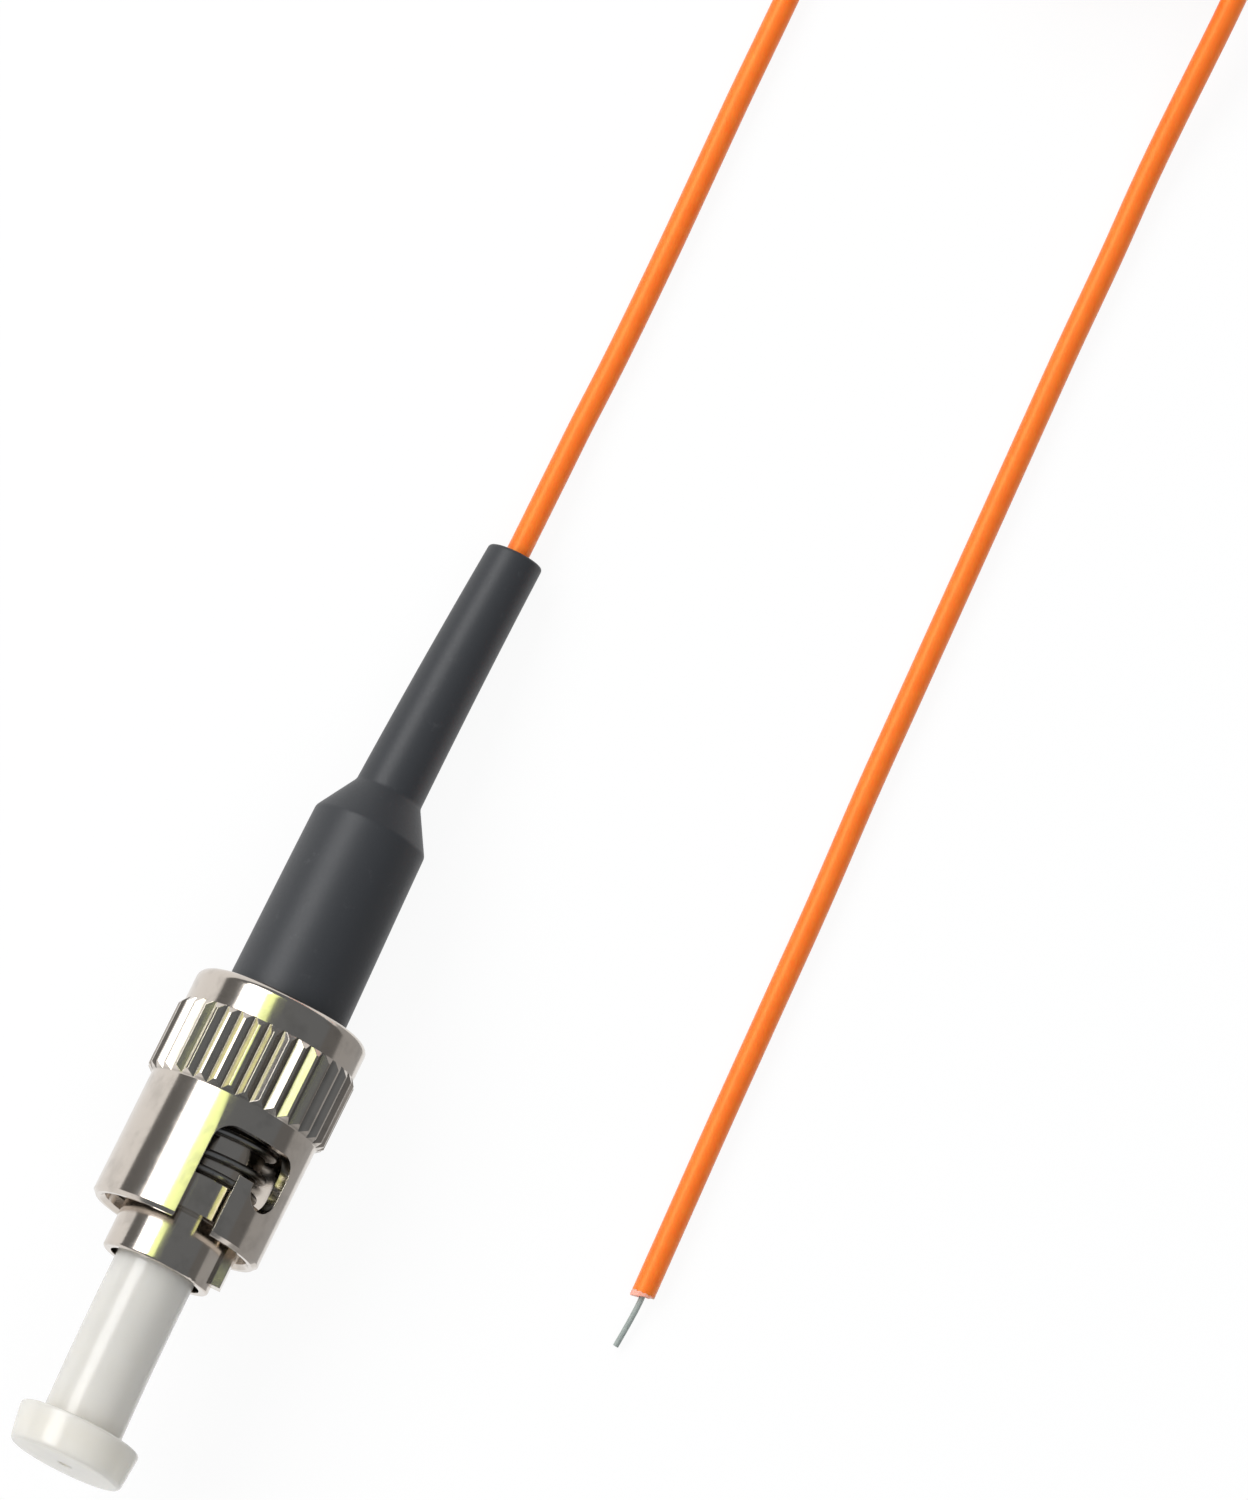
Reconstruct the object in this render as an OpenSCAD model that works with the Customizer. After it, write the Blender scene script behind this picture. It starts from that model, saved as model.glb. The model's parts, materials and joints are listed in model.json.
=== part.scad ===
// Bayonet fibre-optic connector on its pigtail, with the dust cap on.
// Each piece is drawn about the plug's axis: 0 is the rim of the plug sleeve, + is towards the
// cap and - towards the boot. Then it is laid down as it rests, on the nut and the boot's tip.

/* [Plug body] */
// Bore of the sleeve round the ferrule, which takes the adapter's alignment sleeve
sleeve_bore_d = 4.8; // [4.6:0.05:5]
// Depth of that bore
sleeve_bore_depth = 4.4; // [3.6:0.1:4.6]
// Wall of the sleeve
sleeve_wall = 0.45; // [0.35:0.05:0.5]
// Length of the sleeve ahead of its flange
sleeve_len = 2.9; // [2.8:0.1:3.2]
// Rounding of the sleeve's rim
sleeve_edge_r = 0.15; // [0.05:0.05:0.2]
// Diameter of the flange that the spring pushes on
flange_d = 7.3; // [7:0.1:7.4]
// Thickness of that flange
flange_len = 1.8; // [1.2:0.1:2]
// Diameter of the barrel behind the flange, on which the nut runs
barrel_d = 5; // [4.9:0.05:5.2]
// Length of barrel left behind the clip's groove
barrel_land = 0.7; // [0.5:0.1:1]
// Depth of the clip's groove
groove_depth = 0.4; // [0.3:0.05:0.5]
// Diameter of the post that the boot is pushed on
post_d = 4; // [3.4:0.1:4.2]
// Length of the post
post_len = 6; // [5:0.5:8]
// Bore of the post
post_bore_d = 2; // [1.8:0.1:2.4]
// Number of holding grooves round the post
post_grooves = 4; // [2:1:5]
// Width of a holding groove, twice its depth
post_groove = 0.3; // [0.2:0.05:0.4]
// Width of the key that stops the plug turning
key_w = 1; // [0.8:0.05:1.1]
// How far the key stands out of the sleeve
key_h = 0.45; // [0.3:0.05:0.6]
// How far the key starts behind the rim
key_setback = 0.5; // [0.3:0.1:1]
// Turn of the key from the top
key_phase = 85; // [0:5:180]

/* [Ferrule and fibre] */
// Diameter of the ceramic ferrule
ferrule_d = 2.5; // [2.4:0.05:2.6]
// Length of the ferrule
ferrule_len = 12.7; // [11.5:0.1:13.5]
// How far the ferrule stands ahead of the sleeve's rim
ferrule_reach = 4.6; // [4:0.1:5]
// Diameter of the ferrule's polished end
ferrule_tip_d = 1.4; // [1:0.1:2]
// Length of the chamfer behind the polished end
ferrule_chamfer = 0.5; // [0.3:0.1:0.8]
// Diameter of the glass fibre
glass_d = 0.125; // [0.125:0.025:0.2]
// Wide end of the funnel in the ferrule's back
funnel_d = 1; // [0.8:0.1:1.2]
// Length of bare fibre between the ferrule's back and the stripped jacket
strip_len = 1.5; // [1:0.1:3]

/* [Coupling nut] */
// Diameter of the nut's front sleeve
nut_d = 8.95; // [8.8:0.05:9.1]
// Bore of that sleeve, which slides over the adapter
nut_bore_d = 7.7; // [7.6:0.05:7.8]
// How far the nut's front lies behind the rim of the plug sleeve
nut_setback = 2.15; // [2.1:0.05:2.4]
// Length of the front sleeve
nut_front_len = 6.65; // [6.2:0.05:7]
// Chamfer of the nut's front edge, outside and in
nut_chamfer = 0.2; // [0.1:0.05:0.25]
// Diameter over the gripping ribs
knurl_d = 9.6; // [9.4:0.05:9.8]
// Length of the gripping ribs
knurl_len = 3.95; // [3.4:0.05:4.4]
// Number of ribs
rib_count = 36; // [30:1:38]
// Height of a rib over the bottom of its grooves
rib_h = 0.3; // [0.2:0.02:0.3]
// Width of a rib's crown
rib_top = 0.1; // [0.06:0.02:0.2]
// Length of the slope at the ribs' ends
rib_end_slope = 0.3; // [0.15:0.05:0.4]
// Turn of the first rib from the top
rib_phase = 1.8; // [0:0.2:12]
// Diameter of the plain collar behind the ribs
collar_d = 9.2; // [9:0.05:9.3]
// Length of that collar
collar_len = 1.8; // [1.4:0.1:2]
// Rounding of the collar's back edge
collar_edge_r = 0.5; // [0.3:0.05:0.6]
// Thickness of the shoulder inside, between the spring and the clip
shoulder_len = 1.2; // [0.9:0.1:1.4]
// Depth of the bore behind the shoulder
rear_bore_len = 3.75; // [3.4:0.05:4]

/* [Bayonet slots] */
// Width of the slot, for the adapter's pin
slot_w = 2.06; // [1.9:0.02:2.2]
// Depth of the slot from the nut's front
slot_depth = 5.35; // [5:0.05:5.6]
// Turn from the way in to the seat
slot_turn = 38; // [34:1:44]
// How far the seat comes forward of the channel
seat_forward = 1.1; // [0.9:0.05:1.3]
// Turn of the first way in from the top
slot_phase = 9; // [0:1:30]

/* [Spring, washer and clip] */
// Wire of the spring
spring_wire_d = 0.4; // [0.3:0.05:0.42]
// Open turns of the spring
spring_turns = 2.5; // [2:0.5:3]
// Thickness of the washer between spring and nut
washer_len = 0.4; // [0.3:0.05:0.5]
// Thickness of the retaining clip
clip_len = 0.5; // [0.4:0.05:0.6]
// Radial width of the clip
clip_w = 0.95; // [0.8:0.05:1]
// Opening of the clip
clip_open = 80; // [60:5:100]

/* [Boot] */
// Diameter of the boot at the nut
boot_d = 6.3; // [6:0.05:6.4]
// Diameter of the boot's wide part at its back
boot_wide_d = 5.95; // [5.6:0.05:6]
// Length of the wide part seen behind the nut
boot_wide_len = 9.8; // [8.5:0.1:11]
// Length of the cone between the wide and the thin part
boot_cone_len = 2.1; // [1.6:0.1:3]
// Diameter of the thin part at the cone
boot_thin_d = 3.5; // [3.2:0.05:3.8]
// Diameter of the thin part at its tip
boot_tip_d = 2.9; // [2.5:0.05:3.1]
// Length of the thin part
boot_thin_len = 13.55; // [11:0.05:15]
// Rounding of the tip
boot_edge_r = 0.3; // [0.1:0.05:0.4]

/* [Dust cap] */
// Diameter of the cap's grip where it meets the stem
cap_grip_d = 6.45; // [6:0.05:7]
// Diameter of the cap's front face
cap_face_d = 5.95; // [5.6:0.05:6]
// Length of the grip
cap_grip_len = 2; // [1.6:0.1:2.6]
// Rounding of the grip's edges
cap_edge_r = 0.25; // [0.1:0.05:0.35]
// How far the cap stands ahead of the sleeve's rim
cap_reach = 10.6; // [9.5:0.1:12]
// How far the cap's stem goes into the sleeve
cap_insert = 2; // [1.5:0.1:3]
// Wall at the cap's closed end
cap_end_wall = 1.2; // [0.8:0.1:2]

/* [Cord] */
// Diameter of the fibre's jacket
cord_d = 1.2; // [0.9:0.05:1.25]
// Diameter of the bared fibre at the far end
bare_d = 0.3; // [0.25:0.01:0.4]
// Turns side by side in the coil
coil_wide = 5; // [4:1:5]
// Turns on top of each other in the coil
coil_high = 4; // [2:2:4]
// Radius of the coil's outermost turn
coil_turn_r = 9.9; // [9:0.1:10]

/* [Fits] */
// Running clearance of the nut and the washer on the barrel, on the radius
run_fit = 0.05; // [0.03:0.01:0.08]
// Clearance of the cap's bore on the ferrule, on the radius
cap_fit = 0.03; // [0.02:0.01:0.06]
// Clearance of the cap's stem in the sleeve, on the radius
stem_gap = 0.325; // [0.2:0.025:0.4]
// Clearance of pushed-in pieces, on the radius
push_fit = 0.02; // [0.01:0.01:0.04]
// Clearance of the jacket in its tube and boot, on the radius
cord_fit = 0.05; // [0.03:0.01:0.1]
// Gap between faces that press on each other along the axis
seat_gap = 0.03; // [0.02:0.01:0.05]
// Gap round the boot inside the nut, and round the washer
loose_gap = 0.3; // [0.2:0.05:0.35]

/* [Hidden] */
$fn = 96;
slack = 0.5; // how far a cutter runs past the face that it cuts

// places along the axis, from the rim of the sleeve
sleeve_d = sleeve_bore_d + 2 * sleeve_wall;
flange_back = -sleeve_len - flange_len;
nut_front = -nut_setback;
knurl_front = nut_front - nut_front_len;
knurl_back = knurl_front - knurl_len;
nut_back = knurl_back - collar_len;
shoulder_back = nut_back + rear_bore_len;
shoulder_front = shoulder_back + shoulder_len;
washer_back = shoulder_front + seat_gap;
washer_front = washer_back + washer_len;
clip_front = shoulder_back - seat_gap;
groove_front = clip_front + seat_gap / 2;
groove_back = clip_front - clip_len - seat_gap / 2;
barrel_back = groove_back - barrel_land;
post_back = barrel_back - post_len;
ferrule_back = ferrule_reach - ferrule_len;
guide_front = ferrule_back - seat_gap;
boot_front = barrel_back - seat_gap;
boot_wide_back = nut_back - boot_wide_len;
boot_cone_back = boot_wide_back - boot_cone_len;
boot_back = boot_cone_back - boot_thin_len;
cord_front = ferrule_back - strip_len;

// half the width of the groove between two ribs, and of its cutter past the crowns
groove_half_w = PI * knurl_d / rib_count / 2 - rib_top / 2;
cutter_half_w = groove_half_w * (1 + slack / rib_h);

// how the connector lies: the line that touches the crowns' back ends and the boot's round tip
crown_back = knurl_back + rib_end_slope;
tip_axis_r = boot_tip_d / 2 - boot_edge_r;
lie_run = crown_back - boot_back - boot_edge_r;
lie_drop = knurl_d / 2 - tip_axis_r;
lie_tilt = acos(boot_edge_r / norm([lie_run, lie_drop])) - atan2(lie_run, lie_drop);
floor_z = crown_back * sin(lie_tilt) - knurl_d / 2 * cos(lie_tilt);

// the coil lies flat behind the boot, between the two straight runs of the cord
coil_at = [-87.5, 9.9];
coil_out_r = coil_turn_r + cord_d / 2;
coil_in_r = coil_out_r - coil_wide * cord_d;
coil_edge_r = 0.4;

// routes of the two straight runs: x, y and height of the jacket's middle over the floor
near_route = [
    [-42, 0.1, 1.12], [-44.5, 0.2, 0.86], [-47, 0.3, 0.69], [-50, 0.35, 0.62], [-53, 0.35, 0.6],
    [-57, 0.3, 0.6], [-61, 0.2, 0.6], [-65, 0.1, 0.6], [-69, 0.05, 0.6], [-73, 0, 0.6],
    [-78, 0, 0.6], [-84, 0, 0.6]
];
far_route = [
    [-85, 19.8, 3.95], [-82, 19.85, 3.35], [-79, 19.9, 2.6], [-76, 19.9, 1.85], [-73, 19.9, 1.2],
    [-70, 19.95, 0.8], [-66, 20.1, 0.62], [-61, 20.2, 0.6], [-55, 20.4, 0.6], [-49, 20.6, 0.6],
    [-43, 20.8, 0.6], [-37, 21, 0.6], [-31, 21.3, 0.6], [-25, 21.5, 0.6], [-19, 21.7, 0.6],
    [-14, 21.9, 0.6], [-10, 22.05, 0.6]
];
bare_route = [[-10.8, 22.03, 0.6], [-9.5, 22.07, 0.56], [-8.4, 22, 0.46], [-7.1, 21.92, 0.3]];

// ---- helpers ----

// lays what is drawn about the plug's axis down on the floor, its +X side up
module lay(z = 0) {
    rotate([0, 90 - lie_tilt, 0]) rotate(180) translate([0, 0, z]) children();
}

// a point of the plug's axis where it lies, as x, y and height over the floor
function laid(z) = [z * cos(lie_tilt), 0, z * sin(lie_tilt) - floor_z];

// a ring section from radius a to radius b, from z0 up to z1
module band(a, b, z0, z1) {
    translate([a, z0]) square([b - a, z1 - z0]);
}

// what a rounding takes off an outer corner, facing the cap or, turned by -90, the boot
module corner(r, z, edge, turn = 0) {
    translate([r, z]) rotate(turn) difference() {
        translate([-edge, -edge]) square(edge + slack);
        translate([-edge, -edge]) circle(edge, $fn = 48);
    }
}

function unit(v) = v / norm(v);
function heading(path, i) = unit(path[min(i + 1, len(path) - 1)] - path[max(i - 1, 0)]);

// the points round one place of a bent rod
function rim(path, i, r, sides) =
    let (ahead = heading(path, i), side = unit(cross(ahead, [0, 0, 1])), up = cross(side, ahead))
    [for (k = [0:sides - 1]) path[i] + r * (cos(360 * k / sides) * side + sin(360 * k / sides) * up)];

// a bent rod along a path
module rod(path, d, sides = 8) {
    last = len(path) - 1;
    polyhedron(
        points = [for (i = [0:last]) each rim(path, i, d / 2, sides)],
        faces = [
            [for (k = [sides - 1:-1:0]) k],
            for (i = [0:last - 1], k = [0:sides - 1]) let (n = (k + 1) % sides)
                [i * sides + k, i * sides + n, (i + 1) * sides + n, (i + 1) * sides + k],
            [for (k = [0:sides - 1]) last * sides + k]
        ]
    );
}

// one place on the smooth curve through the points p[i] and p[i + 1], at share t between them
function between(p, i, t) =
    let (a = p[max(i - 1, 0)], b = p[i], c = p[i + 1], d = p[min(i + 2, len(p) - 1)])
    b + t * (c - a) / 2 + t * t * (a - 2.5 * b + 2 * c - d / 2) + t * t * t * (1.5 * (b - c) + (d - a) / 2);
function smooth(p, steps) = [
    for (i = [0:len(p) - 2], k = [0:steps - 1]) between(p, i, k / steps), p[len(p) - 1]
];
function on_floor(p) = [for (q = p) [q[0], q[1], q[2] + floor_z]];

// ---- plug ----

module plug_body() color("silver") lay() difference() {
    union() {
        rotate_extrude() difference() {
            union() {
                band(0, sleeve_d / 2, flange_back, 0);
                band(0, flange_d / 2, flange_back, -sleeve_len);
                band(0, barrel_d / 2, barrel_back, flange_back + slack);
                band(0, post_d / 2, post_back, barrel_back + slack);
            }
            corner(sleeve_d / 2, 0, sleeve_edge_r);
            band(0, sleeve_bore_d / 2, -sleeve_bore_depth, slack);
            band(0, ferrule_d / 2, ferrule_back, 0);
            band(0, post_bore_d / 2, post_back - slack, ferrule_back + slack);
            band(barrel_d / 2 - groove_depth, barrel_d, groove_back, groove_front);
            holding_grooves();
        }
        key();
    }
}

module key() {
    rotate(-key_phase) translate([sleeve_d / 2 - sleeve_wall / 2, -key_w / 2, -sleeve_len - slack])
        cube([key_h + sleeve_wall / 2, key_w, sleeve_len + slack - key_setback]);
}

// shallow grooves that hold the boot on the post
module holding_grooves() {
    pitch = post_len / (post_grooves + 1);
    for (i = [1:post_grooves]) let (z = barrel_back - i * pitch)
        band(post_d / 2 - post_groove / 2, post_d, z - post_groove, z);
}

module ferrule() color("ivory") lay() rotate_extrude() difference() {
    polygon([
        [0, ferrule_back], [ferrule_d / 2, ferrule_back], [ferrule_d / 2, ferrule_reach - ferrule_chamfer],
        [ferrule_tip_d / 2, ferrule_reach], [0, ferrule_reach]
    ]);
    band(0, glass_d / 2, ferrule_back, ferrule_reach + slack);
    polygon([
        [0, ferrule_back - slack], [funnel_d / 2, ferrule_back - slack], [funnel_d / 2, ferrule_back],
        [glass_d / 2, ferrule_back + funnel_d], [0, ferrule_back + funnel_d]
    ]);
}

module glass_fibre() color("gainsboro") lay(cord_front) {
    cylinder(d = glass_d, h = ferrule_reach - cord_front);
}

// plastic tube that leads the jacket through the post
module guide_tube() color("white") lay() rotate_extrude()
    band(cord_d / 2 + cord_fit, post_bore_d / 2 - push_fit, post_back, guide_front);

// ---- coupling nut and what holds it ----

module coupling_nut() color("silver") lay() difference() {
    union() {
        rotate_extrude() nut_section();
        gripping_ring();
    }
    for (side = [0, 180]) rotate(side - slot_phase) translate([0, 0, nut_front]) bayonet_slot();
}

module nut_section() difference() {
    union() {
        band(0, nut_d / 2, nut_back + collar_len, nut_front);
        band(0, collar_d / 2, nut_back, knurl_back);
    }
    corner(collar_d / 2, nut_back, collar_edge_r, -90);
    chamfer_ring(nut_d / 2, nut_chamfer);
    chamfer_ring(nut_bore_d / 2, -nut_chamfer);
    band(0, nut_bore_d / 2, shoulder_front, nut_front + slack);
    band(0, barrel_d / 2 + run_fit, nut_back, nut_front);
    band(0, boot_d / 2 + loose_gap, nut_back - slack, shoulder_back);
}

// takes the corner off the nut's front edge at radius r, outwards or, below 0, inwards
module chamfer_ring(r, size) {
    translate([r, nut_front]) polygon([
        [-size, slack], [-size, 0], [0, -abs(size)], [size, -abs(size)], [size, slack]
    ]);
}

// a ring with sloping ends and a three-cornered groove between each two ribs
module gripping_ring() difference() {
    rotate_extrude() polygon([
        [nut_bore_d / 2, knurl_back], [collar_d / 2, knurl_back], [knurl_d / 2, crown_back],
        [knurl_d / 2, knurl_front - rib_end_slope], [nut_d / 2, knurl_front], [nut_bore_d / 2, knurl_front]
    ]);
    for (i = [0:rib_count - 1]) rotate((i + 0.5) * 360 / rib_count - rib_phase)
        translate([0, 0, knurl_back]) linear_extrude(knurl_len + slack) polygon([
            [knurl_d / 2 - rib_h, 0], [knurl_d / 2 + slack, -cutter_half_w],
            [knurl_d / 2 + slack, cutter_half_w]
        ]);
}

// the path of an end mill: straight in, round to the side, and forward into the pin's seat
module bayonet_slot() {
    channel = -slot_depth + slot_w / 2;
    mill_run(channel, slack);
    mill_end(channel);
    rotate(-slot_turn) {
        rotate_extrude(angle = slot_turn)
            band(nut_bore_d / 2 - slack, nut_d / 2 + slack, -slot_depth, -slot_depth + slot_w);
        mill_end(channel);
        mill_run(channel, channel + seat_forward);
        mill_end(channel + seat_forward);
    }
}

module mill_end(z) translate([nut_bore_d / 2 - slack, 0, z]) rotate([0, 90, 0])
    cylinder(d = slot_w, h = nut_d / 2);

module mill_run(z0, z1) translate([nut_bore_d / 2 - slack, -slot_w / 2, z0])
    cube([nut_d / 2, slot_w, z1 - z0]);

module thrust_washer() color("silver") lay() rotate_extrude()
    band(barrel_d / 2 + run_fit, nut_bore_d / 2 - loose_gap, washer_back, washer_front);

// open ring that snaps into the barrel's groove
module retaining_clip() color("dimgray") lay(clip_front - clip_len) rotate(clip_open / 2)
    rotate_extrude(angle = 360 - clip_open)
        band(barrel_d / 2 - groove_depth + push_fit, barrel_d / 2 - groove_depth + push_fit + clip_w, 0, clip_len);

// a closed turn at each end and open turns between
module spring() color("gray") lay() {
    closed = spring_wire_d + seat_gap / 2;
    low = washer_front + seat_gap + spring_wire_d / 2;
    high = flange_back - seat_gap - spring_wire_d / 2;
    pitch = (high - low - 2 * closed) / spring_turns;
    turns = spring_turns + 2;
    steps = 24;
    mean_r = barrel_d / 2 + 2 * run_fit + spring_wire_d / 2;
    rod([
        for (i = [0:turns * steps]) let (t = i / steps) [
            mean_r * cos(360 * t), mean_r * sin(360 * t),
            low + closed * (min(t, 1) + max(t - turns + 1, 0)) + pitch * min(max(t - 1, 0), spring_turns)
        ]
    ], spring_wire_d);
}

// ---- boot and cap ----

module boot() color([0.2, 0.21, 0.22]) lay() rotate_extrude() difference() {
    polygon([
        [0, boot_front], [boot_d / 2, boot_front], [boot_d / 2, nut_back], [boot_wide_d / 2, boot_wide_back],
        [boot_thin_d / 2, boot_cone_back], [boot_tip_d / 2, boot_back], [0, boot_back]
    ]);
    corner(boot_tip_d / 2, boot_back, boot_edge_r, -90);
    band(0, post_d / 2 + push_fit, post_back - seat_gap, boot_front + slack);
    band(0, cord_d / 2 + cord_fit, boot_back - slack, boot_front);
}

module dust_cap() color([0.82, 0.82, 0.79]) lay() rotate_extrude() difference() {
    union() {
        band(0, sleeve_bore_d / 2 - stem_gap, -cap_insert, cap_reach - cap_grip_len + slack);
        polygon([
            [0, cap_reach - cap_grip_len], [cap_grip_d / 2, cap_reach - cap_grip_len],
            [cap_face_d / 2, cap_reach], [0, cap_reach]
        ]);
    }
    corner(cap_face_d / 2, cap_reach, cap_edge_r);
    corner(cap_grip_d / 2, cap_reach - cap_grip_len, cap_edge_r, -90);
    band(0, ferrule_d / 2 + cap_fit, -cap_insert - slack, cap_reach - cap_end_wall);
}

// ---- cord ----

// the jacket inside the plug and the boot
module cord_core() color("darkorange") lay() rotate_extrude()
    band(glass_d / 2, cord_d / 2, boot_back, cord_front);

module cord_near() color("darkorange") rod(on_floor(smooth(concat([laid(boot_back)], near_route), 1)), cord_d);

module cord_coil() color("darkorange") translate([coil_at[0], coil_at[1], floor_z])
    rotate_extrude() difference() {
        band(coil_in_r, coil_out_r, 0, coil_high * cord_d);
        corner(coil_out_r, coil_high * cord_d, coil_edge_r);
        corner(coil_out_r, 0, coil_edge_r, -90);
    }

module cord_far() color("darkorange") rod(on_floor(smooth(far_route, 1)), cord_d);

module bare_fibre() color("lightgray") rod(on_floor(bare_route), bare_d);

dust_cap();
ferrule();
glass_fibre();
plug_body();
spring();
thrust_washer();
coupling_nut();
retaining_clip();
guide_tube();
boot();
cord_core();
cord_near();
cord_coil();
cord_far();
bare_fibre();
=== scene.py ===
# Bayonet fibre connector with its dust cap, on a pigtail of tight jacketed fibre
import json
import math
import bpy
from mathutils import Matrix, Vector, noise


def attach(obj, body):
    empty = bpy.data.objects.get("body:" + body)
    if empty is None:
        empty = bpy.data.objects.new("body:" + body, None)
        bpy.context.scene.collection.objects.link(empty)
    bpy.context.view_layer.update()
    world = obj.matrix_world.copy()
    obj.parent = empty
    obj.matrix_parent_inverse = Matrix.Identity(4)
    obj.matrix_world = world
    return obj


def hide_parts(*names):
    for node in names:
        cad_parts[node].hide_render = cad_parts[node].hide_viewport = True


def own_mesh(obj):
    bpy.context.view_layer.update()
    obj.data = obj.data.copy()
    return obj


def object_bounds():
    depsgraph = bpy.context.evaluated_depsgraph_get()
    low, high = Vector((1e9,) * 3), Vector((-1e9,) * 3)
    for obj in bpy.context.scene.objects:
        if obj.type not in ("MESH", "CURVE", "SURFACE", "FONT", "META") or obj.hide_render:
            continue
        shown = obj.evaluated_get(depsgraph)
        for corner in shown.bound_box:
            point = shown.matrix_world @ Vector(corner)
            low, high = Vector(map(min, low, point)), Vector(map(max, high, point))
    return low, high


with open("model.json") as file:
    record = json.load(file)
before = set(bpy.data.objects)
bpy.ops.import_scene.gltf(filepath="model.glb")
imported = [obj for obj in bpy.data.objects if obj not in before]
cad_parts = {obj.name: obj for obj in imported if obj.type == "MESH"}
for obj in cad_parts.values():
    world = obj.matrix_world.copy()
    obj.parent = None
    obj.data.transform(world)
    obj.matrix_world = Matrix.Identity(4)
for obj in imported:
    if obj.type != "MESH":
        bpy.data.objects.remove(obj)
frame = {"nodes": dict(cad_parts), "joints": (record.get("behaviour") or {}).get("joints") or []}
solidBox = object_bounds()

mm = 0.001
solids = frame["nodes"]
joints = {joint["name"]: joint for joint in frame["joints"]}

# The plug lies along plugAxis, from the boot towards the cap, and plugUp is square to it
plugAxis = Vector(joints["cap_pull"]["axis"]).normalized()
plugSide = Vector((0, 1, 0))
plugUp = plugAxis.cross(plugSide)
floorHeight = solidBox[0].z


def onPlug(along, radius=0, turn=0):
    around = math.radians(turn)
    return plugAxis * along + (plugUp * math.cos(around) - plugSide * math.sin(around)) * radius


def reachOf(name):
    steps = [vertex.co.dot(plugAxis) for vertex in solids[name].data.vertices]
    return min(steps), max(steps)


cameraSet = {
    "aim": (-33.59, 9.31),  # mm on the floor
    "lean": 4.0,  # degrees from upright, towards the cap
    "turn": 26.27,  # degrees between the plug's line and the picture's upright
    "distance": 1.0,
    "lens": 485.4,
}


def makeCamera(setting):
    lean = math.radians(setting["lean"])
    turn = math.radians(setting["turn"])
    back = Vector((math.sin(lean), 0, math.cos(lean)))
    right = Vector((-math.cos(turn), -math.sin(turn), 0)).cross(back).normalized()
    up = back.cross(right)
    aim = Vector((setting["aim"][0] * mm, setting["aim"][1] * mm, floorHeight))
    lensData = bpy.data.cameras.new("camera")
    lensData.lens = setting["lens"]
    lensData.sensor_width = 36
    lensData.clip_start = 0.05
    lensData.clip_end = 20
    camera = bpy.data.objects.new("camera", lensData)
    camera.matrix_world = Matrix.Translation(aim + back * setting["distance"]) @ (
        Matrix((right, up, back)).transposed().to_4x4()
    )
    bpy.context.scene.collection.objects.link(camera)
    bpy.context.scene.camera = camera


makeCamera(cameraSet)
print("camera placed")


class Wire:  # an output socket that can stand in a sum
    def __init__(self, bench, socket):
        self.bench = bench
        self.socket = socket

    def out(self, name):
        return Wire(self.bench, pick(self.socket.node.outputs, name))

    def maths(self, operation, *values):
        return self.bench.node("ShaderNodeMath", {"operation": operation}, dict(enumerate(values)))

    def __add__(self, other):
        return self.maths("ADD", self, other)

    def __radd__(self, other):
        return self.maths("ADD", other, self)

    def __sub__(self, other):
        return self.maths("SUBTRACT", self, other)

    def __rsub__(self, other):
        return self.maths("SUBTRACT", other, self)

    def __mul__(self, other):
        return self.maths("MULTIPLY", self, other)

    def __rmul__(self, other):
        return self.maths("MULTIPLY", other, self)

    def between(self, low, high):  # 0 at low, 1 at high, smooth in the middle
        return self.bench.node(
            "ShaderNodeMapRange",
            {"interpolation_type": "SMOOTHSTEP"},
            {"Value": self, "From Min": low, "From Max": high},
        )


def pick(sockets, name):
    if isinstance(name, int):
        return sockets[name]
    return next(socket for socket in sockets if name in (socket.identifier, socket.name))


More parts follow.
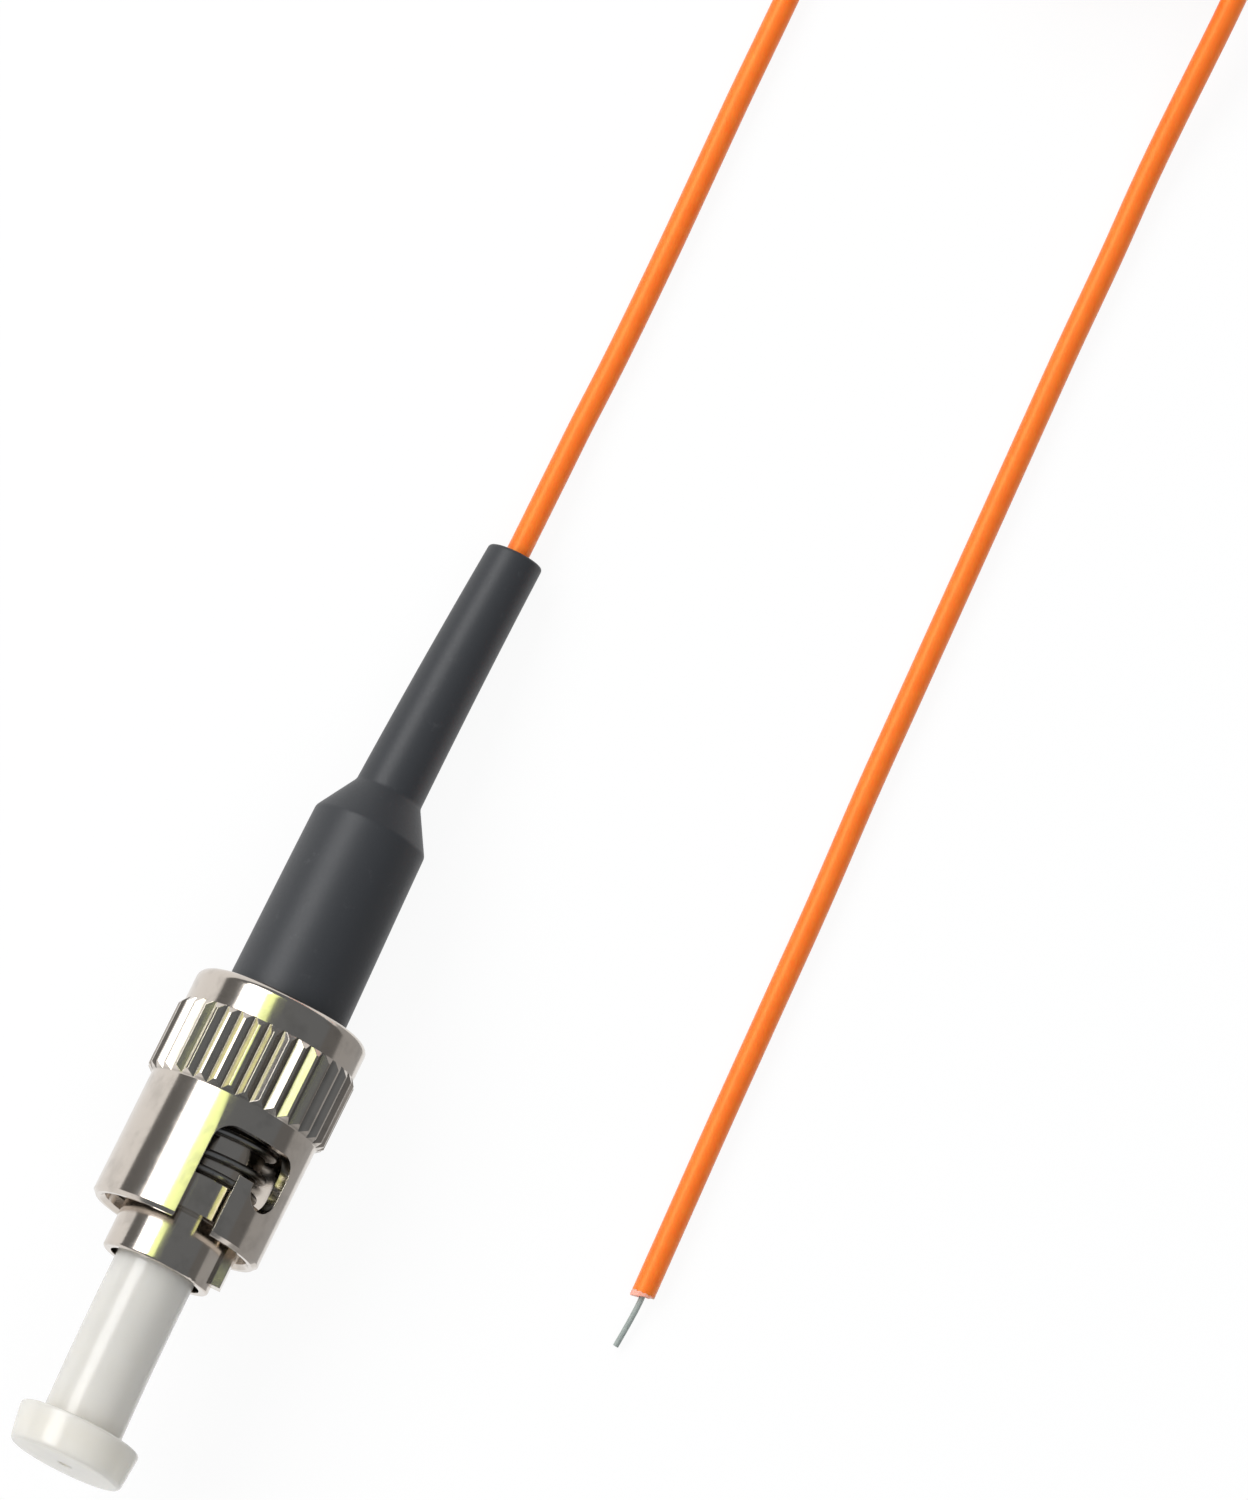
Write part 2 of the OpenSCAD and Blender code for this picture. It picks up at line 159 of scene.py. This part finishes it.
class Bench:  # a node tree that is being built
    def __init__(self, tree):
        self.tree = tree
        tree.nodes.clear()

    def node(self, kind, settings=None, sockets=None):
        made = self.tree.nodes.new(kind)
        for name, value in (settings or {}).items():
            setattr(made, name, value)
        for name, value in (sockets or {}).items():
            target = pick(made.inputs, name)
            if isinstance(value, Wire):
                self.tree.links.new(value.socket, target)
            elif isinstance(value, (tuple, list)) and len(value) == 3 and target.type == "RGBA":
                target.default_value = (*value, 1)
            else:
                target.default_value = value
        return Wire(self, made.outputs[0]) if len(made.outputs) else made

    def blend(self, share, first, second):
        return self.node(
            "ShaderNodeMix",
            {"data_type": "RGBA"},
            {"Factor_Float": share, "A_Color": first, "B_Color": second},
        ).out("Result_Color")

    def vector(self, operation, *values):
        return self.node("ShaderNodeVectorMath", {"operation": operation}, dict(enumerate(values)))

    def place(self):  # where a point of the piece is, at rest
        return self.node("ShaderNodeTexCoord").out("Object")

    def speckle(self, scale, detail=2.0, rough=0.5):
        return self.node(
            "ShaderNodeTexNoise",
            {},
            {"Vector": self.place(), "Scale": scale, "Detail": detail, "Roughness": rough},
        )

    def rings(self, scale, detail=2.0):  # marks that run round the plug's axis
        return self.node(
            "ShaderNodeTexNoise",
            {"noise_dimensions": "1D"},
            {"W": self.alongPlug() * scale, "Scale": 1.0, "Detail": detail},
        )

    def alongPlug(self):
        return self.vector("DOT_PRODUCT", self.place(), tuple(plugAxis)).out("Value")

    def fromAxis(self):  # distance from the plug's axis
        onAxis = self.vector("SCALE", tuple(plugAxis))
        self.tree.links.new(self.alongPlug().socket, pick(onAxis.socket.node.inputs, "Scale"))
        return self.vector("LENGTH", self.vector("SUBTRACT", self.place(), onAxis)).out("Value")

    def bump(self, height, strength, distance, normal=None):
        sockets = {"Height": height, "Strength": strength, "Distance": distance}
        if normal:
            sockets["Normal"] = normal
        return self.node("ShaderNodeBump", {}, sockets)

    def softEdges(self, radius):
        return self.node("ShaderNodeBevel", {"samples": 6}, {"Radius": radius})


def newFinish(name, build):
    material = bpy.data.materials.new(name)
    material.use_nodes = True
    bench = Bench(material.node_tree)
    surface = bench.node("ShaderNodeBsdfPrincipled", {}, build(bench))
    bench.node("ShaderNodeOutputMaterial", {}, {"Surface": surface})
    return material


def dress(name, finish):
    for slot in solids[name].material_slots:
        slot.material = finish


nickelSet = {
    "clean": (0.64, 0.58, 0.52),
    # the darker plating colour, used for random tarnish and for painted shade in the rib grooves
    "dullAndShaded": (0.3, 0.275, 0.25),
    "edge": 0.05 * mm,
    "grooveBottom": 4.5 * mm,
    "grooveTop": 4.68 * mm,
    "ribs": (-12.75 * mm, -8.8 * mm),  # where the gripping ribs stand, along the plug
    "ribFade": 0.1 * mm,
}


def nickel(bench, grooves):
    tarnishAndGrooveShade = bench.speckle(900, 4).between(0.45, 0.75) * 0.3
    rings = bench.rings(9000, 3)
    if grooves:
        # painted shade: the colour is darkened deep in the grooves between the gripping ribs, where shade
        # falls, on top of the random tarnish speckle
        shadedGroove = 1 - bench.fromAxis().between(nickelSet["grooveBottom"], nickelSet["grooveTop"])
        back, front = nickelSet["ribs"]
        fade = nickelSet["ribFade"]
        onRibs = bench.alongPlug().between(back, back + fade)
        onRibs = onRibs * (1 - bench.alongPlug().between(front - fade, front))
        tarnishAndGrooveShade = tarnishAndGrooveShade + shadedGroove * onRibs * 0.6
    colour = bench.blend(tarnishAndGrooveShade, nickelSet["clean"], nickelSet["dullAndShaded"])
    rough = 0.11 + tarnishAndGrooveShade * 0.18 + bench.speckle(3500, 3) * 0.06
    return {
        "Base Color": colour,
        "Metallic": 1.0,
        "Roughness": rough,
        "Normal": bench.bump(rings, 0.1, 0.01 * mm, bench.softEdges(nickelSet["edge"])),
    }


def capPlastic(bench):
    cloud = bench.speckle(700, 3)
    return {
        "Base Color": bench.blend(cloud, (0.86, 0.805, 0.71), (0.9, 0.85, 0.76)),
        "Roughness": 0.16 + cloud * 0.08,
        "IOR": 1.5,
        "Specular IOR Level": 0.75,
        "Subsurface Weight": 0.75,
        "Subsurface Radius": (1.0, 0.97, 0.9),
        "Subsurface Scale": 3 * mm,
        "Transmission Weight": 0.2,
        "Normal": bench.bump(bench.speckle(2500, 3), 0.12, 0.02 * mm),
    }


def bootRubber(bench):
    grain = bench.speckle(6500, 4, 0.6)
    dust = bench.speckle(1500, 5, 0.65).between(0.6, 0.78) * 0.35
    return {
        "Base Color": bench.blend(dust, (0.031, 0.033, 0.037), (0.08, 0.082, 0.086)),
        "Roughness": 0.4 + grain * 0.16,
        "Specular IOR Level": 0.5,
        "Normal": bench.bump(grain, 0.25, 0.015 * mm),
    }


def jacketPlastic(bench):
    ripple = bench.speckle(1200, 3)
    return {
        "Base Color": bench.blend(ripple, (0.93, 0.155, 0.015), (0.97, 0.215, 0.028)),
        "Roughness": 0.38 + ripple * 0.1,
        "Specular IOR Level": 0.9,
        "Specular Tint": (1, 0.8, 0.3),
        "Subsurface Weight": 0.35,
        "Subsurface Radius": (1.0, 0.2, 0.05),
        "Subsurface Scale": 0.7 * mm,
        "Normal": bench.bump(bench.speckle(4000, 2), 0.08, 0.01 * mm),
    }


def cutJacket(bench):
    torn = bench.speckle(6000, 4)
    return {
        "Base Color": bench.blend(torn, (0.9, 0.3, 0.2), (0.97, 0.5, 0.4)),
        "Roughness": 0.6,
        "Subsurface Weight": 0.5,
        "Subsurface Radius": (1.0, 0.4, 0.3),
        "Subsurface Scale": 0.4 * mm,
        "Normal": bench.bump(torn, 0.5, 0.03 * mm),
    }


def fibreCoating(bench):
    streak = bench.speckle(5000, 2)
    return {
        "Base Color": bench.blend(streak, (0.24, 0.28, 0.26), (0.38, 0.42, 0.39)),
        "Roughness": 0.35,
        "Coat Weight": 0.3,
    }


def ceramic(bench):
    return {
        "Base Color": bench.blend(bench.speckle(2000), (0.83, 0.82, 0.78), (0.88, 0.87, 0.84)),
        "Roughness": 0.12,
        "Subsurface Weight": 0.2,
        "Subsurface Radius": (1, 1, 1),
        "Subsurface Scale": 0.3 * mm,
        "Normal": bench.softEdges(0.03 * mm),
    }


def springSteel(bench):
    scale = bench.speckle(3000, 4)
    return {
        "Base Color": bench.blend(scale, (0.36, 0.35, 0.34), (0.5, 0.49, 0.47)),
        "Metallic": 1.0,
        "Roughness": 0.24 + scale * 0.12,
    }


def tubePlastic(bench):
    cloud = bench.speckle(1500)
    return {
        "Base Color": bench.blend(cloud, (0.78, 0.78, 0.76), (0.84, 0.84, 0.82)),
        "Roughness": 0.4,
    }


def glass(bench):
    return {
        "Base Color": bench.blend(bench.speckle(8000), (0.9, 0.93, 0.93), (0.95, 0.96, 0.96)),
        "Roughness": 0.05,
        "IOR": 1.46,
        "Transmission Weight": 0.8,
    }


nutNickel = newFinish("nutNickel", lambda bench: nickel(bench, True))
bodyNickel = newFinish("bodyNickel", lambda bench: nickel(bench, False))
capFinish = newFinish("capPlastic", capPlastic)
bootFinish = newFinish("bootRubber", bootRubber)
jacketFinish = newFinish("jacketPlastic", jacketPlastic)
cutFinish = newFinish("cutJacket", cutJacket)
coatingFinish = newFinish("fibreCoating", fibreCoating)
ceramicFinish = newFinish("ceramic", ceramic)
springFinish = newFinish("springSteel", springSteel)
tubeFinish = newFinish("tubePlastic", tubePlastic)
glassFinish = newFinish("glass", glass)

for name, finish in (
    ("coupling_nut", nutNickel),
    ("plug_body", bodyNickel),
    ("thrust_washer", bodyNickel),
    ("retaining_clip", springFinish),
    ("spring", springFinish),
    ("ferrule", ceramicFinish),
    ("glass_fibre", glassFinish),
    ("guide_tube", tubeFinish),
    ("cord_core", jacketFinish),
):
    dress(name, finish)
print("finishes made")


def newPiece(name, vertices, faces, finish, body, slotName, sharp=35):
    mesh = bpy.data.meshes.new(name)
    mesh.from_pydata(vertices, [], faces)
    mesh.materials.append(finish)
    mesh.shade_smooth()
    mesh.set_sharp_from_angle(angle=math.radians(sharp))
    piece = bpy.data.objects.new(name, mesh)
    bpy.context.scene.collection.objects.link(piece)
    even = piece.modifiers.new("evenShading", "WEIGHTED_NORMAL")
    even.keep_sharp = True
    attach(piece, body)
    return piece


def tube(path, radius, sides):  # a round rod along path, closed at both ends
    vertices = []
    side = Vector((0, 0, 1))
    for index, point in enumerate(path):
        ahead = (path[min(index + 1, len(path) - 1)] - path[max(index - 1, 0)]).normalized()
        side = (side - ahead * side.dot(ahead)).normalized()
        across = ahead.cross(side)
        for step in range(sides):
            turn = 2 * math.pi * step / sides
            vertices.append(point + (side * math.cos(turn) + across * math.sin(turn)) * radius)
    faces = []
    for low in range(0, (len(path) - 1) * sides, sides):
        high = low + sides
        for step in range(sides):
            after = (step + 1) % sides
            faces.append((low + step, low + after, high + after, high + step))
    faces.append(tuple(reversed(range(sides))))
    faces.append(tuple(range((len(path) - 1) * sides, len(path) * sides)))
    return vertices, faces


def softened(corners, steps=5):  # corners are (along, radius, rounding), in mm
    outline = []
    for index, (along, radius, rounding) in enumerate(corners):
        corner = Vector((along, radius))
        before = Vector(corners[max(index - 1, 0)][:2])
        after = Vector(corners[min(index + 1, len(corners) - 1)][:2])
        if not rounding:
            outline.append(corner)
            continue
        start = corner + (before - corner).normalized() * rounding
        end = corner + (after - corner).normalized() * rounding
        for step in range(steps + 1):
            share = step / steps
            outline.append(start.lerp(corner, share).lerp(corner.lerp(end, share), share))
    return outline


def divided(outline, longest):  # adds points where two are further apart than longest
    points = []
    for start, end in zip(outline, outline[1:]):
        count = max(1, math.ceil((end - start).length / longest))
        points += [start.lerp(end, step / count) for step in range(count)]
    return points + [outline[-1]]


def lathed(outline, sides, place):  # a turned form, its two ends closed with flat faces
    vertices = []
    for along, radius in outline:
        for step in range(sides):
            vertices.append(place(along * mm, radius * mm, 360 * step / sides))
    faces = []
    for low in range(0, (len(outline) - 1) * sides, sides):
        high = low + sides
        for step in range(sides):
            after = (step + 1) % sides
            faces.append((low + after, low + step, high + step, high + after))
    faces.append(tuple(range(sides)))
    faces.append(tuple(reversed(range((len(outline) - 1) * sides, len(outline) * sides))))
    return vertices, faces


def loop(outline, sides, place):  # a turned form whose outline comes back to its start
    vertices, faces = lathed(outline, sides, place)
    last = (len(outline) - 1) * sides
    faces = faces[:-2]
    for step in range(sides):
        after = (step + 1) % sides
        faces.append((last + after, after, step, last + step))
    return vertices, faces


def smoothed(points, steps):  # a smooth curve through the points
    curve = []
    for index in range(len(points) - 1):
        a = points[max(index - 1, 0)]
        b = points[index]
        c = points[index + 1]
        d = points[min(index + 2, len(points) - 1)]
        for step in range(steps):
            t = step / steps
            curve.append(
                b
                + (c - a) * (t / 2)
                + (a - b * 2.5 + c * 2 - d / 2) * t**2
                + (b * 1.5 - c * 1.5 + d / 2 - a / 2) * t**3
            )
    return curve + [points[-1]]


cordSet = {
    "diameter": 1.2 * mm,
    "exit": (-39.7, 0.3, 1.405),
    "near": (
        (-42, 0.3, 1.12), (-44.5, 0.3, 0.86), (-47, 0.3, 0.69), (-50, 0.35, 0.62), (-53, 0.35, 0.6),
        (-57, 0.3, 0.6), (-61, 0.2, 0.6), (-65, 0.1, 0.6), (-69, 0.05, 0.6), (-73, 0, 0.6),
        (-78, 0, 0.6), (-84, 0, 0.6),
    ),
    "far": (
        (-85, 19.8, 3.95), (-82, 19.85, 3.35), (-79, 19.9, 2.6), (-76, 19.9, 1.85), (-73, 19.9, 1.2),
        (-70, 19.95, 0.8), (-66, 20.1, 0.62), (-61, 20.2, 0.6), (-55, 20.4, 0.6), (-49, 20.6, 0.6),
        (-43, 20.8, 0.6), (-37, 21, 0.6), (-31, 21.3, 0.6), (-25, 21.5, 0.6), (-19, 21.7, 0.6),
        (-14, 21.9, 0.6), (-9.85, 22.06, 0.6),
    ),
    "bare": ((-10.8, 22.03, 0.6), (-9.4, 22.09, 0.56), (-8.3, 22.06, 0.46), (-6.95, 21.98, 0.3)),
    "bareDiameter": 0.3 * mm,
    "bareSides": 14,
    "cut": {"length": 0.16, "slant": 0.9, "ragged": 0.05, "tears": 2.3, "sides": 40},
    "coilCentre": (-87.5, 9.9),
    "coilRadius": 9.9,
    "turnsWide": 5,
    "layers": 4,
    "pointsPerTurn": 32,
}


def overFloor(point):
    return Vector((point[0] * mm, point[1] * mm, point[2] * mm + floorHeight))


def coilPoints(setting):  # in and out in flat layers, with a turn that climbs between two
    pitch = setting["diameter"] / mm
    spiral = setting["turnsWide"] - 1
    stages = []  # turns, radius and height at the start and at the end
    outer = setting["coilRadius"]
    inner = outer - spiral * pitch
    start = outer
    for layer in range(setting["layers"]):
        end = inner if start == outer else outer
        height = pitch * (layer + 0.5)
        last = layer == setting["layers"] - 1
        stages.append((spiral, start, end, height, height))
        stages.append((0.5 if last else 1, end, end, height, height if last else height + pitch))
        start = end
    points = []
    turned = 0
    for turns, startRadius, endRadius, startHeight, endHeight in stages:
        count = round(turns * setting["pointsPerTurn"])
        for step in range(count):
            share = step / count
            angle = math.radians(-90 - 360 * (turned + turns * share))
            radius = startRadius + (endRadius - startRadius) * share
            points.append(
                overFloor(
                    (
                        setting["coilCentre"][0] + radius * math.cos(angle),
                        setting["coilCentre"][1] + radius * math.sin(angle),
                        startHeight + (endHeight - startHeight) * share,
                    )
                )
            )
        turned += turns
    return points


def makeJacketEnd(setting, tip, ahead):  # the last bit of jacket, cut off on a slant
    cut = setting["cut"]
    side = Vector((0, 0, 1)).cross(ahead).normalized()
    up = ahead.cross(side)

    def place(along, radius, turn):
        around = math.radians(turn)
        tear = Vector((math.cos(around) * cut["tears"], math.sin(around) * cut["tears"], along / mm))
        reach = along
        if along > 0:
            reach = along * (1 - cut["slant"] * math.cos(around)) + noise.noise(tear) * cut["ragged"] * mm
        return tip + ahead * reach + (side * math.cos(around) + up * math.sin(around)) * radius

    radius = setting["diameter"] / 2 / mm
    outline = softened(
        (
            (-0.1, radius - 0.04, 0), (0, radius + 0.01, 0.06), (cut["length"], radius, 0.05),
            (cut["length"] - 0.03, 0.2, 0.04), (-0.1, 0.17, 0),
        )
    )
    form = lathed(divided(outline, 0.1), cut["sides"], place)
    return newPiece("jacketEnd", *form, cutFinish, "plug", "jacket")


def makeCord(setting):
    near = [overFloor(point) for point in (setting["exit"], *setting["near"])]
    far = [overFloor(point) for point in setting["far"]]
    path = smoothed(near, 4) + coilPoints(setting) + smoothed(far, 4)
    curve = bpy.data.curves.new("cord", "CURVE")
    curve.dimensions = "3D"
    curve.bevel_depth = setting["diameter"] / 2
    curve.bevel_resolution = 4
    curve.use_fill_caps = True
    spline = curve.splines.new("POLY")
    spline.points.add(len(path) - 1)
    for point, place in zip(spline.points, path):
        point.co = (*place, 1)
    spline.use_smooth = True
    curve.materials.append(jacketFinish)
    cord = bpy.data.objects.new("cord", curve)
    bpy.context.scene.collection.objects.link(cord)
    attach(cord, "plug")
    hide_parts("cord_near", "cord_coil", "cord_far")
    bare = smoothed([overFloor(point) for point in setting["bare"]], 6)
    form = tube(bare, setting["bareDiameter"] / 2, setting["bareSides"])
    fibre = newPiece("bareFibre", *form, coatingFinish, "plug", "fibre_coating")
    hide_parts("bare_fibre")
    end = makeJacketEnd(setting, far[-1], (far[-1] - far[-2]).normalized())
    length = sum((b - a).length for a, b in zip(path, path[1:]))
    tuple(near[0])
    return length


cordLength = makeCord(cordSet)
print("cord laid,", round(cordLength, 3), "m")


springSet = {
    "wire": 0.4 * mm,
    "meanRadius": 2.8 * mm,
    "openTurns": 2.5,
    "closedPitch": 0.415 * mm,
    "steps": 48,
    "sides": 14,
}


def makeSpring(setting):
    back, front = reachOf("spring")
    low = back + setting["wire"] / 2
    high = front - setting["wire"] / 2
    openPitch = (high - low - 2 * setting["closedPitch"]) / setting["openTurns"]
    turns = setting["openTurns"] + 2
    path = []
    for step in range(round(turns * setting["steps"]) + 1):
        turned = step / setting["steps"]
        closed = min(turned, 1) + max(turned - turns + 1, 0)
        opened = min(max(turned - 1, 0), setting["openTurns"])
        along = low + closed * setting["closedPitch"] + opened * openPitch
        path.append(onPlug(along, setting["meanRadius"], turned * 360))
    form = tube(path, setting["wire"] / 2, setting["sides"])
    spring = newPiece("springWire", *form, springFinish, "plug", "spring_steel")
    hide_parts("spring")
    push = joints["nut_push"]["range_m"][1]
    fixedEnd = Vector(joints["nut_push"]["deforming_nodes"][0]["fixed_end_m"])
    length = fixedEnd.dot(plugAxis) - back
    (length - push) / length
    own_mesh(spring)


makeSpring(springSet)
print("spring wound")


bootSet = {
    "frontRadius": 3.15, "wideRadius": 2.975, "thinRadius": 1.75, "tipRadius": 1.45,
    "wideLength": 9.8, "coneLength": 2.1, "thinLength": 13.55,
    "edge": 0.12, "tipEdge": 0.2, "bore": 0.65, "postBore": 2.02, "postLength": 6,
    "sides": 96, "longest": 0.8,
    "sway": (-0.12, 0.3),  # sideways at the cone and at the tip, as the soft boot lies
}


def makeBoot(setting):
    back, front = (reach / mm for reach in reachOf("boot"))
    cone = back + setting["thinLength"]
    wide = cone + setting["coneLength"]
    collar = wide + setting["wideLength"]
    post = front - setting["postLength"]

    def sway(along):
        atCone, atTip = setting["sway"]
        if along > cone:
            share = min(max((front - along) / (front - cone), 0), 1)
            return atCone * share * share * (3 - 2 * share)
        share = (cone - along) / (cone - back)
        return atCone + (atTip - atCone) * share * (0.55 + 0.45 * share)

    def place(along, radius, turn):
        return onPlug(along, radius, turn) + plugSide * (sway(along / mm) * mm)

    outline = softened(
        (
            (front, setting["postBore"], 0.05), (front, setting["frontRadius"], 0.1),
            (collar, setting["frontRadius"], 0.1), (wide, setting["wideRadius"], setting["edge"]),
            (cone, setting["thinRadius"], setting["edge"]), (back, setting["tipRadius"], setting["tipEdge"]),
            (back, setting["bore"], 0.08), (post - 1, setting["bore"], 0),
        )
    )
    inside = [Vector((post, 0.64)), Vector((post, setting["postBore"])), Vector((front, setting["postBore"]))]
    form = loop(divided(outline, setting["longest"]) + inside, setting["sides"], place)
    boot = newPiece("bootSkin", *form, bootFinish, "plug", "boot_rubber")
    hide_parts("boot")


makeBoot(bootSet)
print("boot pushed on")


capSet = {
    "gripLength": 2, "gripRadius": 3.225, "faceRadius": 2.975, "stemRadius": 2.075,
    "insert": 2, "bore": 1.28, "endWall": 1.2, "edge": 0.25, "root": 0.15,
    "gate": 0.4, "gateDepth": 0.08, "sides": 96, "longest": 0.7,
    "sway": 0.28,  # sideways at the grip: the cap sits a little crooked
}


def makeCap(setting):
    reach = reachOf("dust_cap")[1] / mm
    grip = reach - setting["gripLength"]
    gate = reach - setting["gateDepth"]

    def place(along, radius, turn):
        share = max(along / mm / reach, 0)
        return onPlug(along, radius, turn) + plugSide * (setting["sway"] * share * share * mm)

    outline = softened(
        (
            (gate, 0.1, 0), (gate, setting["gate"] - 0.08, 0.04),
            (reach, setting["gate"], 0.04), (reach, setting["faceRadius"], setting["edge"]),
            (grip, setting["gripRadius"], setting["edge"]), (grip, setting["stemRadius"], setting["root"]),
            (-setting["insert"], setting["stemRadius"], 0.1), (-setting["insert"], setting["bore"], 0.06),
            (reach - setting["endWall"], setting["bore"], 0.1), (reach - setting["endWall"], 0.1, 0),
        )
    )
    form = lathed(divided(outline, setting["longest"]), setting["sides"], place)
    cap = newPiece("capSkin", *form, capFinish, "cap", "cap_plastic")
    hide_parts("dust_cap")


makeCap(capSet)
print("cap fitted")


studioSet = {
    "floorRadius": 4,
    "floorGap": 0.01 * mm,
    "paper": (0.93, 0.93, 0.93),
    "seenWhite": 0.92,  # how much of the floor's own shadow the white takes away
    "boxDistance": 0.6,
    "boxLength": 0.9,
    "fill": {"towards": (0.1, 0.2, 1), "distance": 0.8, "size": 1.0, "glow": 1.15},
    "key": {"turn": -44.5, "spread": 30, "glow": 4.2},
    "streak": {"turn": -22.5, "spread": 15, "glow": 1.6, "colour": (0.86, 1.0, 0.36)},
    "cardEnds": (-26 * mm, 12 * mm),
    "cards": (  # the low and the high edge, each as (y, z) in mm
        {"low": (-15, 1.6), "high": (-15, 8), "glow": 0.16},
        {"low": (15, 2.1), "high": (15, 8), "glow": 0.16},
        {"low": (8, -6), "high": (15, 2.1), "glow": 0.42},
    ),
    "world": 0.19,
    "worldColour": (0.9, 0.97, 1.04),
}


def softbox(name, direction, distance, width, length, glow, colour=(1, 1, 1), glossOnly=False, hidden=False):
    light = bpy.data.lights.new(name, "AREA")
    light.shape = "RECTANGLE"
    light.size = width
    light.size_y = length
    light.energy = glow * math.pi * width * length
    light.color = colour
    back = direction.normalized()
    lengthways = (Vector((1, 0, 0)) - back * back.x).normalized()
    across = lengthways.cross(back)
    lamp = bpy.data.objects.new(name, light)
    facing = Matrix((across, lengthways, back)).transposed().to_4x4()
    lamp.matrix_world = Matrix.Translation(back * distance) @ facing
    lamp.visible_camera = False
    lamp.visible_diffuse = not glossOnly
    lamp.visible_glossy = not hidden
    bpy.context.scene.collection.objects.link(lamp)
    return lamp


def dimCard(ends, setting):  # seen only in gloss, it draws the dark line beside a highlight
    back, front = ends
    low, high = setting["low"], setting["high"]
    outline = ((back, low), (front, low), (front, high), (back, high))
    corners = [(end, aside * mm, height * mm) for end, (aside, height) in outline]
    card = bpy.data.meshes.new("card")
    card.from_pydata(corners, [], [(0, 1, 2, 3)])
    material = bpy.data.materials.new("cardGrey")
    material.use_nodes = True
    bench = Bench(material.node_tree)
    grey = bench.node("ShaderNodeEmission", {}, {"Color": (1, 1, 1), "Strength": setting["glow"]})
    bench.node("ShaderNodeOutputMaterial", {}, {"Surface": grey})
    card.materials.append(material)
    piece = bpy.data.objects.new("card", card)
    piece.visible_camera = False
    piece.visible_diffuse = False
    piece.visible_shadow = False
    piece.visible_transmission = False
    bpy.context.scene.collection.objects.link(piece)


def acrossPlug(turn, forward=-0.19):  # a direction over the plug, turned from upright round its axis
    angle = math.radians(turn)
    flat = math.sqrt(1 - forward**2)
    return Vector((forward, math.sin(angle) * flat, math.cos(angle) * flat))


def makeStudio(setting):
    distance = setting["boxDistance"]
    length = setting["boxLength"]
    key = setting["key"]
    width = 2 * distance * math.tan(math.radians(key["spread"] / 2))
    softbox("keyBox", acrossPlug(key["turn"]), distance, width, length, key["glow"])
    streak = setting["streak"]
    width = 2 * distance * math.tan(math.radians(streak["spread"] / 2))
    towards = acrossPlug(streak["turn"])
    glow, colour = streak["glow"], streak["colour"]
    streakBox = softbox("streakBox", towards, distance, width, length, glow, colour, True)
    plated = bpy.data.collections.new("plated")
    for name in ("coupling_nut", "plug_body"):
        plated.objects.link(solids[name])
    streakBox.light_linking.receiver_collection = plated
    fill = setting["fill"]
    towards = Vector(fill["towards"])
    softbox("fillBox", towards, fill["distance"], fill["size"], fill["size"], fill["glow"], hidden=True)
    for card in setting["cards"]:
        dimCard(setting["cardEnds"], card)

    world = bpy.data.worlds.new("studio")
    bpy.context.scene.world = world
    world.use_nodes = True
    bench = Bench(world.node_tree)
    glow = {"Color": setting["worldColour"], "Strength": setting["world"]}
    sky = bench.node("ShaderNodeBackground", {}, glow)
    bench.node("ShaderNodeOutputWorld", {}, {"Surface": sky})

    floor = bpy.data.meshes.new("floor")
    ring = []
    for step in range(64):
        turn = step * math.pi / 32
        reach = setting["floorRadius"]
        ring.append((reach * math.cos(turn), reach * math.sin(turn), floorHeight - setting["floorGap"]))
    floor.from_pydata(ring, [], [tuple(range(64))])
    material = bpy.data.materials.new("floorPaper")
    material.use_nodes = True
    bench = Bench(material.node_tree)
    ray = bench.node("ShaderNodeLightPath")
    seen = ray.maths("MAXIMUM", ray.out("Is Camera Ray"), ray.out("Is Glossy Ray"))
    seen = ray.maths("MAXIMUM", seen, ray.out("Is Transmission Ray"))
    paper = bench.node("ShaderNodeBsdfDiffuse", {}, {"Color": setting["paper"]})
    white = bench.node("ShaderNodeEmission", {}, {"Color": (1, 1, 1), "Strength": 1.0})
    surface = bench.node("ShaderNodeMixShader", {}, {0: seen * setting["seenWhite"], 1: paper, 2: white})
    bench.node("ShaderNodeOutputMaterial", {}, {"Surface": surface})
    floor.materials.append(material)
    floorPiece = bpy.data.objects.new("floor", floor)
    bpy.context.scene.collection.objects.link(floorPiece)


makeStudio(studioSet)
bpy.context.scene.view_settings.view_transform = "Standard"
print("studio lit")
